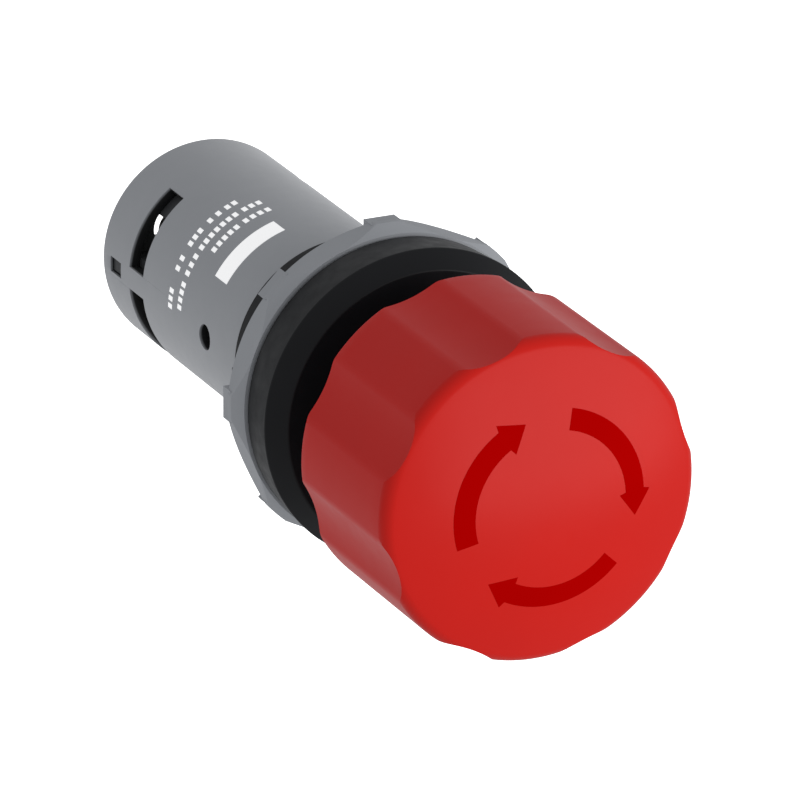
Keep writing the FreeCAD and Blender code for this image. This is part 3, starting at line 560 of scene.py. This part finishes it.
def head_profile(settings):
    """Half section of the head: hub, hollow skirt, side, rounded rim and dome."""
    rim, wall = settings.rim, settings.skirt_wall
    ball = dome_radius(settings)
    ball_height = HEAD_HIGH - ball
    # The rim's rounding touches the side and the dome from inside.
    rim_x = HEAD_RADIUS - rim
    rim_z = ball_height + math.sqrt((ball - rim) ** 2 - rim_x**2)
    meet = math.degrees(math.atan2(rim_z - ball_height, rim_x))
    hub, bore, edge = 6.0 * MM, 3.55 * MM, 0.35 * MM
    ceiling = HEAD_HIGH - 4.8 * MM
    hub_low = ceiling - 8.1 * MM
    inside = [
        (0, ceiling - 1.2 * MM),
        (bore, ceiling - 1.2 * MM),
        (bore, hub_low),
        (hub, hub_low),
        (hub, ceiling),
        (HEAD_RADIUS - wall, ceiling),
    ]
    skirt = arc((HEAD_RADIUS - wall + edge, HEAD_LOW + edge), edge, 180, 270, 4)
    skirt += arc((HEAD_RADIUS - edge, HEAD_LOW + edge), edge, 270, 360, 6)
    side = [(HEAD_RADIUS, HEAD_LOW + (rim_z - HEAD_LOW) * k / 12) for k in range(1, 12)]
    rounding = arc((rim_x, rim_z), rim, 0, meet, 14)
    dome = arc((0, ball_height), ball, meet, 90, 44)[1:]
    dome[-1] = (0, HEAD_HIGH)
    return inside + skirt + side + rounding + dome


def head_outline(settings):
    """Plan of the head's side: round lands, scallops, and the blends that run one into the other."""
    radius, blend, span = HEAD_RADIUS + 0.002 * MM, settings.scallop_blend, settings.scallop_span
    half_chord = HEAD_RADIUS * math.sin(span / 2)
    sagitta = settings.scallop_depth - HEAD_RADIUS * (1 - math.cos(span / 2))
    hollow = (half_chord**2 + sagitta**2) / (2 * sagitta)
    away = HEAD_RADIUS - settings.scallop_depth + hollow
    near, reach = radius - blend, hollow + blend
    lean = math.acos((away**2 + near**2 - reach**2) / (2 * away * near))
    step = 2 * math.pi / settings.scallops
    points = []
    for k in range(settings.scallops):
        middle = settings.scallop_turn + k * step
        centre = polar(away, middle)
        first, last = polar(near, middle - lean), polar(near, middle + lean)
        down = centre + (first - centre).normalized() * hollow
        up = centre + (last - centre).normalized() * hollow
        points += sweep(first, polar(radius, middle - lean), down, 10)
        points += sweep(centre, down, up, 24)[1:]
        points += sweep(last, up, polar(radius, middle + lean), 10)[1:]
        land_start, land_end = polar(radius, middle + lean), polar(radius, middle + step - lean)
        points += sweep(Vector((0, 0)), land_start, land_end, 16)[1:-1]
    return points


class ESTOP_OT_mushroom_head(Operator):
    """Turn the mushroom head and give its side its grip hollows"""

    bl_idname = "estop.mushroom_head"
    bl_label = "Mushroom Head"

    def execute(self, context):
        s = context.scene.stop_head
        head = lathe("head", head_profile(s))
        side = prism("side", head_outline(s), HEAD_LOW - 1 * MM, HEAD_HIGH + 1 * MM)
        combine(head, side, "INTERSECT")
        tidy(head)
        soften(head, 0.14 * MM, 3, 38)
        tidy(head)
        shade(head, 32)
        red = moulded_plastic("red_plastic", s.red, (0.28, 0.32), grain=0.01, spread=0.02, specular=0.12)
        finish_piece(head, "mushroom_head_shell", red, "head", "red_plastic", "mushroom_head")
        return {"FINISHED"}


def arrow_outline(settings):
    """Plan of one curved arrow: the shaft's outer edge, the point, and the shaft's inner edge."""
    mean, half = settings.arrow_radius, settings.arrow_width / 2
    barb, barbs = settings.arrow_barb / 2, settings.arrow_barbs
    count = 48
    shaft = settings.arrow_neck - settings.arrow_tail
    angles = [settings.arrow_tail + shaft * k / count for k in range(count + 1)]
    outer = [polar(mean + half, a) for a in angles]
    inner = [polar(mean - half, a) for a in reversed(angles)]
    point = [polar(mean + barb, barbs), polar(mean + settings.arrow_tip_out, settings.arrow_tip)]
    return outer + point + [polar(mean - barb, barbs)] + inner


class ESTOP_OT_release_arrows(Operator):
    """Lay the three release arrows into the dome"""

    bl_idname = "estop.release_arrows"
    bl_label = "Release Arrows"

    def execute(self, context):
        s = context.scene.stop_head
        arrows = ring_of(prism("arrow", arrow_outline(s), HEAD_HIGH - 6 * MM, HEAD_HIGH + 2 * MM), 3)
        ball = dome_radius(s)
        stand, sink = 0.015 * MM, 0.25 * MM
        centre = (0, HEAD_HIGH - ball)
        skin = arc(centre, ball + stand, 72, 89.5, 60) + arc(centre, ball - sink, 89.5, 72, 60)
        combine(arrows, lathe("dome_skin", skin), "INTERSECT")
        tidy(arrows)
        shade(arrows, 25)
        dark = moulded_plastic("dark_red_inlay", s.arrow_red, (0.5, 0.6), grain=0.05, specular=0.0)
        finish_piece(arrows, "release_arrow_inlays", dark, "head", "dark_red_plastic", "release_arrows")
        return {"FINISHED"}


def collar_profile(settings):
    """Half section of the collar, neck, floor and sleeve."""
    thread = THREAD_CREST - settings.thread_depth
    points = [
        (3.56 * MM, -1.6 * MM),
        (9.35 * MM, -1.6 * MM),
        (9.35 * MM, COLLAR_LOW),
        (thread - 0.2 * MM, COLLAR_LOW),
        (thread, COLLAR_LOW + 0.2 * MM),
        (thread, 0.15 * MM),
        (12.15 * MM, 0.15 * MM),
        (12.15 * MM, 1.05 * MM),
        (13.35 * MM, 1.05 * MM),
        (13.35 * MM, 0.15 * MM),
        (14.3 * MM, 0.15 * MM),
        (COLLAR_RADIUS, 4.6 * MM),
        (13.2 * MM, 6.4 * MM),
        (9.3 * MM, 6.4 * MM),
        (9.3 * MM, NECK_TOP),
        (7.6 * MM, NECK_TOP),
        (7.6 * MM, 1.0 * MM),
        (3.56 * MM, 1.0 * MM),
    ]
    radii = [0] * len(points)
    radii[10], radii[11], radii[12], radii[13] = 0.2 * MM, 0.35 * MM, 0.3 * MM, 0.25 * MM
    radii[14], radii[15] = 0.3 * MM, 0.2 * MM
    return rounded(points, radii)


class ESTOP_OT_collar_sleeve(Operator):
    """Turn the black collar and its sleeve, and wind the thread"""

    bl_idname = "estop.collar_sleeve"
    bl_label = "Collar and Sleeve"

    def execute(self, context):
        s = context.scene.stop_body
        collar = lathe("collar", collar_profile(s))
        key = block("key", (-12.0 * MM, -1.0 * MM, -1.2 * MM), (-10.2 * MM, 1.0 * MM, 0.2 * MM))
        combine(collar, key, "UNION")
        tidy(collar)
        shade(collar)
        black = moulded_plastic(
            "black_plastic", s.black, (0.34, 0.46), grain=0.08, spread=0.08, specular=0.16
        )
        finish_piece(collar, "collar_and_sleeve", black, "housing", "black_plastic", "collar_sleeve")
        thread = self.wind_thread(s)
        finish_piece(thread, "sleeve_thread", black, "housing", "black_plastic")
        return {"FINISHED"}

    def wind_thread(self, s):
        """A ridge of one tooth, wound along the sleeve from just behind the seat to its end."""
        crest, foot = THREAD_CREST, THREAD_CREST - s.thread_depth - THREAD_SINK
        low, high = COLLAR_LOW + 0.15 * MM, THREAD_START
        turns = (high - low - s.thread_pitch * 0.8) / s.thread_pitch
        half = s.thread_pitch * 0.4
        corners = [(foot, -half), (crest, -half * 0.25), (crest, half * 0.25), (foot, half)]
        clear_selection()
        bpy.ops.mesh.primitive_plane_add(size=1, location=(0, 0, 0))
        tooth = bpy.context.object
        tooth.name = "thread_tooth"
        # The points of a new plane go round it in the order 0, 1, 3, 2.
        for index, (x, z) in zip((0, 1, 3, 2), corners):
            tooth.data.vertices[index].co = (x, 0, low + half + z)
        apply_modifier(
            tooth, "SCREW", angle=2 * math.pi * turns, screw_offset=s.thread_pitch * turns, iterations=1,
            steps=int(90 * turns), render_steps=int(90 * turns), axis="Z", use_merge_vertices=False,
            use_normal_calculate=False,
        )
        close_ends(tooth)
        tidy(tooth)
        shade(tooth, 40)
        return tooth


class ESTOP_OT_fixing_nut(Operator):
    """Build the eight-sided fixing nut with its chamfered corners and tabs"""

    bl_idname = "estop.fixing_nut"
    bl_label = "Fixing Nut"

    def execute(self, context):
        s = context.scene.stop_body
        flats, chamfer = s.nut_flats, s.nut_chamfer
        corner, outer = flats / math.cos(math.pi / 8), flats + s.nut_rise
        low, high = NUT_BACK, NUT_HIGH
        nut = rod("nut", corner, low, high, 0, 0, 8)
        envelope = lathe(
            "nut_envelope",
            [
                (0, low),
                (flats, low),
                (outer, low + chamfer),
                (outer, high - chamfer),
                (flats, high),
                (0, high),
            ],
        )
        combine(nut, envelope, "INTERSECT")
        tab = block(
            "tab",
            (corner - TAB_DEPTH, -s.nut_tab / 2, low),
            (outer - TAB_BACK_OFF, s.nut_tab / 2, low + TAB_HEIGHT),
        )
        tabs = ring_of(tab, 8)
        combine(nut, tabs, "UNION")
        combine(nut, rod("hub", NUT_HUB, NUT_LOW, low + NUT_FLOOR, vertices=STEPS), "UNION")
        cutter = lathe(
            "nut_cutter",
            [
                (0, NUT_LOW - 1 * MM),
                (NUT_BORE + NUT_BORE_CHAMFER, NUT_LOW - 1 * MM),
                (NUT_BORE + NUT_BORE_CHAMFER, NUT_LOW),
                (NUT_BORE, NUT_LOW + NUT_BORE_CHAMFER),
                (NUT_BORE, NUT_RECESS),
                (NUT_RECESS_RADIUS, NUT_RECESS),
                (NUT_RECESS_RADIUS, 1 * MM),
                (0, 1 * MM),
            ],
        )
        combine(nut, cutter, "DIFFERENCE")
        tidy(nut)
        soften(nut, 0.12 * MM, 2, 25)
        tidy(nut)
        shade(nut, 22)
        grey = moulded_plastic(
            "grey_nut_plastic", s.grey, (0.42, 0.52), grain=0.10, spread=0.03, specular=0.35
        )
        finish_piece(nut, "eight_sided_nut", grey, "nut", "grey_plastic", "fixing_nut")
        return {"FINISHED"}


def shell_profile():
    """Half section of the rear shell with its spigot and web."""
    points = [
        (9.1 * MM, SHELL_LOW),
        (SHELL_RADIUS, SHELL_LOW),
        (SHELL_RADIUS, -11.2 * MM),
        (9.25 * MM, -11.2 * MM),
        (9.25 * MM, SHELL_HIGH),
        (8.2 * MM, SHELL_HIGH),
        (8.2 * MM, -12.2 * MM),
        (9.1 * MM, -12.2 * MM),
    ]
    radii = [0.2 * MM, 0.7 * MM, 0.25 * MM, 0, 0.2 * MM, 0.2 * MM, 0, 0]
    return rounded(points, radii)


class ESTOP_OT_rear_shell(Operator):
    """Turn the rear shell and cut its wire slots, windows and hole"""

    bl_idname = "estop.rear_shell"
    bl_label = "Rear Shell"

    def execute(self, context):
        s = context.scene.stop_body
        shell = lathe("shell", shell_profile())
        cutters = []
        for side in (0, math.pi):
            for sign in (1, -1):
                middle = side + sign * s.slot_middle
                cutters.append(
                    sector("slot", CUT_INNER, CUT_OUTER, SLOT_LOW, SLOT_HIGH, middle, s.slot_span)
                )
        for sign in (1, -1):
            x = sorted((sign * CUT_INNER, sign * CUT_OUTER))
            low, high = (x[0], -WINDOW_HALF, WINDOW_LOW), (x[1], WINDOW_HALF, WINDOW_HIGH)
            cutters.append(block("window", low, high))
        combine(shell, join(cutters), "DIFFERENCE")
        hole = rod("hole", HOLE_RADIUS, -2 * MM, 2 * MM, vertices=64)
        hole.rotation_euler = (0, math.pi / 2, 0)
        hole.location = (10 * MM, 0, HOLE_HEIGHT)
        settle(hole)
        combine(shell, hole, "DIFFERENCE")
        tidy(shell)
        soften(shell, 0.1 * MM, 2, 50)
        tidy(shell)
        shade(shell, 30)
        grey = moulded_plastic(
            "grey_shell_plastic_painted_shade", s.grey, (0.40, 0.50), grain=0.08, spread=0.03, sheen=0.45, specular=0.35
        )
        # Painted shade: the shell's inside and the walls of its cuts are painted near black in place of the
        # shade that falls in them.
        paint_shade_within(grey, SHELL_RADIUS - 0.3 * MM, SHELL_RADIUS - 0.05 * MM)
        finish_piece(shell, "rear_shell_tube", grey, "housing", "grey_plastic", "rear_shell")
        return {"FINISHED"}


# Plain ticks in place of printed lines: each row's height, half width, and the ends of its groups in degrees.
PRINT_ROWS = (
    (-22.2 * MM, 0.42 * MM, ((-79, -63), (-60, -41))),
    (-24.2 * MM, 0.42 * MM, ((-79, -68), (-65, -38), (-35, -22), (-19, -4))),
    (-26.2 * MM, 0.42 * MM, ((-70, -63), (-60, -50), (-47, -36), (-30, -20), (-12, -1))),
)
PRINT_BAR = (-18.3 * MM, 1.25 * MM, (-74, -32))
TICK, TICK_PITCH = 2.6, 4.0


class ESTOP_OT_print(Operator):
    """Lay plain white dashes on the rear shell where such a button carries its printed ratings"""

    bl_idname = "estop.print"
    bl_label = "Print"

    def execute(self, context):
        ticks = [self.dash(*PRINT_BAR[:2], *PRINT_BAR[2])]
        for height, half, groups in PRINT_ROWS:
            for first, last in groups:
                count = max(1, round((last - first) / TICK_PITCH))
                pitch = (last - first + TICK_PITCH - TICK) / count
                starts = [first + pitch * k for k in range(count)]
                ticks += [self.dash(height, half, start, start + TICK) for start in starts]
        marks = join(ticks)
        shade(marks, 30)
        ink_and_glow = moulded_plastic(
            "white_ink_painted_glow", (0.95, 0.95, 0.95), (0.5, 0.6), grain=0.02, spread=0.02, specular=0.2
        )
        shader = ink_and_glow.node_tree.nodes["Principled BSDF"]
        # Painted light: the ink glows a little, so the print shows brighter than the lamps alone would make
        # it.
        shader.inputs["Emission Color"].default_value = (0.9, 0.9, 0.9, 1)
        shader.inputs["Emission Strength"].default_value = 0.45
        finish_piece(marks, "plain_print_dashes", ink_and_glow, "housing", "white_plastic")
        return {"FINISHED"}

    def dash(self, height, half, first, last):
        """One printed mark, a film that just stands out of the shell, between two angles in degrees."""
        film = 0.012 * MM
        middle, span = math.radians((first + last) / 2), math.radians(last - first)
        inner, outer = SHELL_RADIUS - film, SHELL_RADIUS + film
        return sector("dash", inner, outer, height - half, height + half, middle, span)


class ESTOP_OT_inner_pieces(Operator):
    """Give the gasket, springs, contacts, terminals and other inner pieces their finishes"""

    bl_idname = "estop.inner_pieces"
    bl_label = "Inner Pieces"

    def execute(self, context):
        finishes = {
            "black_plastic": bpy.data.materials["black_plastic"],
            "dark_grey_plastic": moulded_plastic("dark_grey_plastic", (0.045, 0.047, 0.05), (0.45, 0.6), 0.2),
            "white_plastic": moulded_plastic("natural_acetal", (0.72, 0.72, 0.68), (0.3, 0.42), 0.1),
            "black_rubber": soft_rubber("black_rubber", (0.02, 0.02, 0.021)),
            "zinc_steel": turned_metal("zinc_steel", (0.62, 0.61, 0.57), (0.25, 0.42)),
            "bright_steel": turned_metal("bright_steel", (0.66, 0.66, 0.67), (0.18, 0.3)),
            "contact_brass": turned_metal("contact_brass", (0.72, 0.52, 0.23), (0.22, 0.38)),
            "silver_alloy": turned_metal("silver_alloy", (0.86, 0.85, 0.82), (0.2, 0.3)),
        }
        hidden = {"mushroom_head", "release_arrows", "collar_sleeve", "fixing_nut", "rear_shell"}
        for part in frame["record"]["subparts"]:
            if part["node"] not in hidden:
                dress(part["node"], finishes[part["material_slot"]])
        return {"FINISHED"}


# ----------------------------------------------------------------------------------------------------
# Stage
# ----------------------------------------------------------------------------------------------------

def add_area_light(name, place, target, size, power):
    """A soft rectangular lamp at a place, turned towards a target."""
    light = bpy.data.lights.new(name, "AREA")
    light.shape = "RECTANGLE"
    light.size, light.size_y = size
    light.energy = power
    obj = bpy.data.objects.new(name, light)
    bpy.context.collection.objects.link(obj)
    obj.location = place
    obj.rotation_euler = (Vector(target) - Vector(place)).to_track_quat("-Z", "Y").to_euler()
    return obj


class ESTOP_OT_stage(Operator):
    """Add the white backdrop, the soft studio light and the camera"""

    bl_idname = "estop.stage"
    bl_label = "Stage"

    def execute(self, context):
        world = bpy.data.worlds.new("studio")
        world.use_nodes = True
        world.node_tree.nodes["Background"].inputs["Color"].default_value = (0.97, 0.98, 1, 1)
        world.node_tree.nodes["Background"].inputs["Strength"].default_value = 0.5
        context.scene.world = world
        self.add_backdrop()
        add_area_light("overhead_softbox", (-0.45, -0.02, 0.9), (0, 0, 0), (0.8, 1.2), 8.0)
        fill = add_area_light("rear_fill", (0.3, 0.5, -0.7), (0, 0, -0.01), (0.9, 0.9), 2.5)
        fill.visible_glossy = False
        self.add_camera(context)
        context.scene.view_settings.view_transform = "Standard"
        return {"FINISHED"}

    def add_backdrop(self):
        """A white card square to the camera's line of sight, well behind the object."""
        clear_selection()
        bpy.ops.mesh.primitive_plane_add(size=0.4)
        card = bpy.context.object
        card.name = "backdrop"
        back = CAMERA_RIGHT.cross(CAMERA_UP)
        card.matrix_world = camera_matrix(-1.2 * back, CAMERA_RIGHT, CAMERA_UP)
        settle(card)
        material, tree, shader, place = new_material("white_card")
        pale = tinted(tree, noise(tree, place, 3), (0.98, 0.98, 0.98), 0.005)
        tree.links.new(pale, shader.inputs["Base Color"])
        tree.links.new(pale, shader.inputs["Emission Color"])
        shader.inputs["Emission Strength"].default_value = 1.1
        shader.inputs["Roughness"].default_value = 0.9
        shader.inputs["Specular IOR Level"].default_value = 0.0
        card.data.materials.append(material)
        card.visible_glossy = False

    def add_camera(self, context):
        """Looks down at the head from the front, rolled so that the button lies across the picture."""
        data = bpy.data.cameras.new("camera")
        data.lens = 397.9
        data.sensor_width = 36.0
        data.clip_start, data.clip_end = 0.05, 20.0
        camera = bpy.data.objects.new("camera", data)
        context.collection.objects.link(camera)
        camera.matrix_world = camera_matrix(CAMERA_PLACE, CAMERA_RIGHT, CAMERA_UP)
        context.scene.camera = camera


def camera_matrix(place, right, up):
    back = right.cross(up)
    return Matrix([(*row, where) for *row, where in zip(right, up, back, place)] + [(0, 0, 0, 1)])


# ----------------------------------------------------------------------------------------------------
# Panel, registration and the run
# ----------------------------------------------------------------------------------------------------

PIECE_OPERATORS = (
    ESTOP_OT_mushroom_head,
    ESTOP_OT_release_arrows,
    ESTOP_OT_collar_sleeve,
    ESTOP_OT_fixing_nut,
    ESTOP_OT_rear_shell,
    ESTOP_OT_print,
    ESTOP_OT_inner_pieces,
    ESTOP_OT_stage,
)


class ESTOP_PT_builder(Panel):
    """Lists the sizes, colours and building steps of the stop button"""

    bl_idname = "ESTOP_PT_builder"
    bl_label = "Stop Button"
    bl_space_type = "VIEW_3D"
    bl_region_type = "UI"
    bl_category = "Stop Button"

    def draw(self, context):
        for settings in (context.scene.stop_head, context.scene.stop_body):
            box = self.layout.box()
            for name in settings.__annotations__:
                box.prop(settings, name)
        for piece in PIECE_OPERATORS:
            self.layout.operator(piece.bl_idname)


CLASSES = (StopHeadSettings, StopBodySettings, *PIECE_OPERATORS, ESTOP_PT_builder)


def register():
    for cls in CLASSES:
        bpy.utils.register_class(cls)
    bpy.types.Scene.stop_head = PointerProperty(type=StopHeadSettings)
    bpy.types.Scene.stop_body = PointerProperty(type=StopBodySettings)


def unregister():
    del bpy.types.Scene.stop_head
    del bpy.types.Scene.stop_body
    for cls in reversed(CLASSES):
        bpy.utils.unregister_class(cls)


def main():
    register()
    bpy.ops.estop.mushroom_head()
    bpy.ops.estop.release_arrows()
    bpy.ops.estop.collar_sleeve()
    bpy.ops.estop.fixing_nut()
    bpy.ops.estop.rear_shell()
    bpy.ops.estop.print()
    bpy.ops.estop.inner_pieces()
    bpy.ops.estop.stage()


if __name__ == "__main__":
    main()
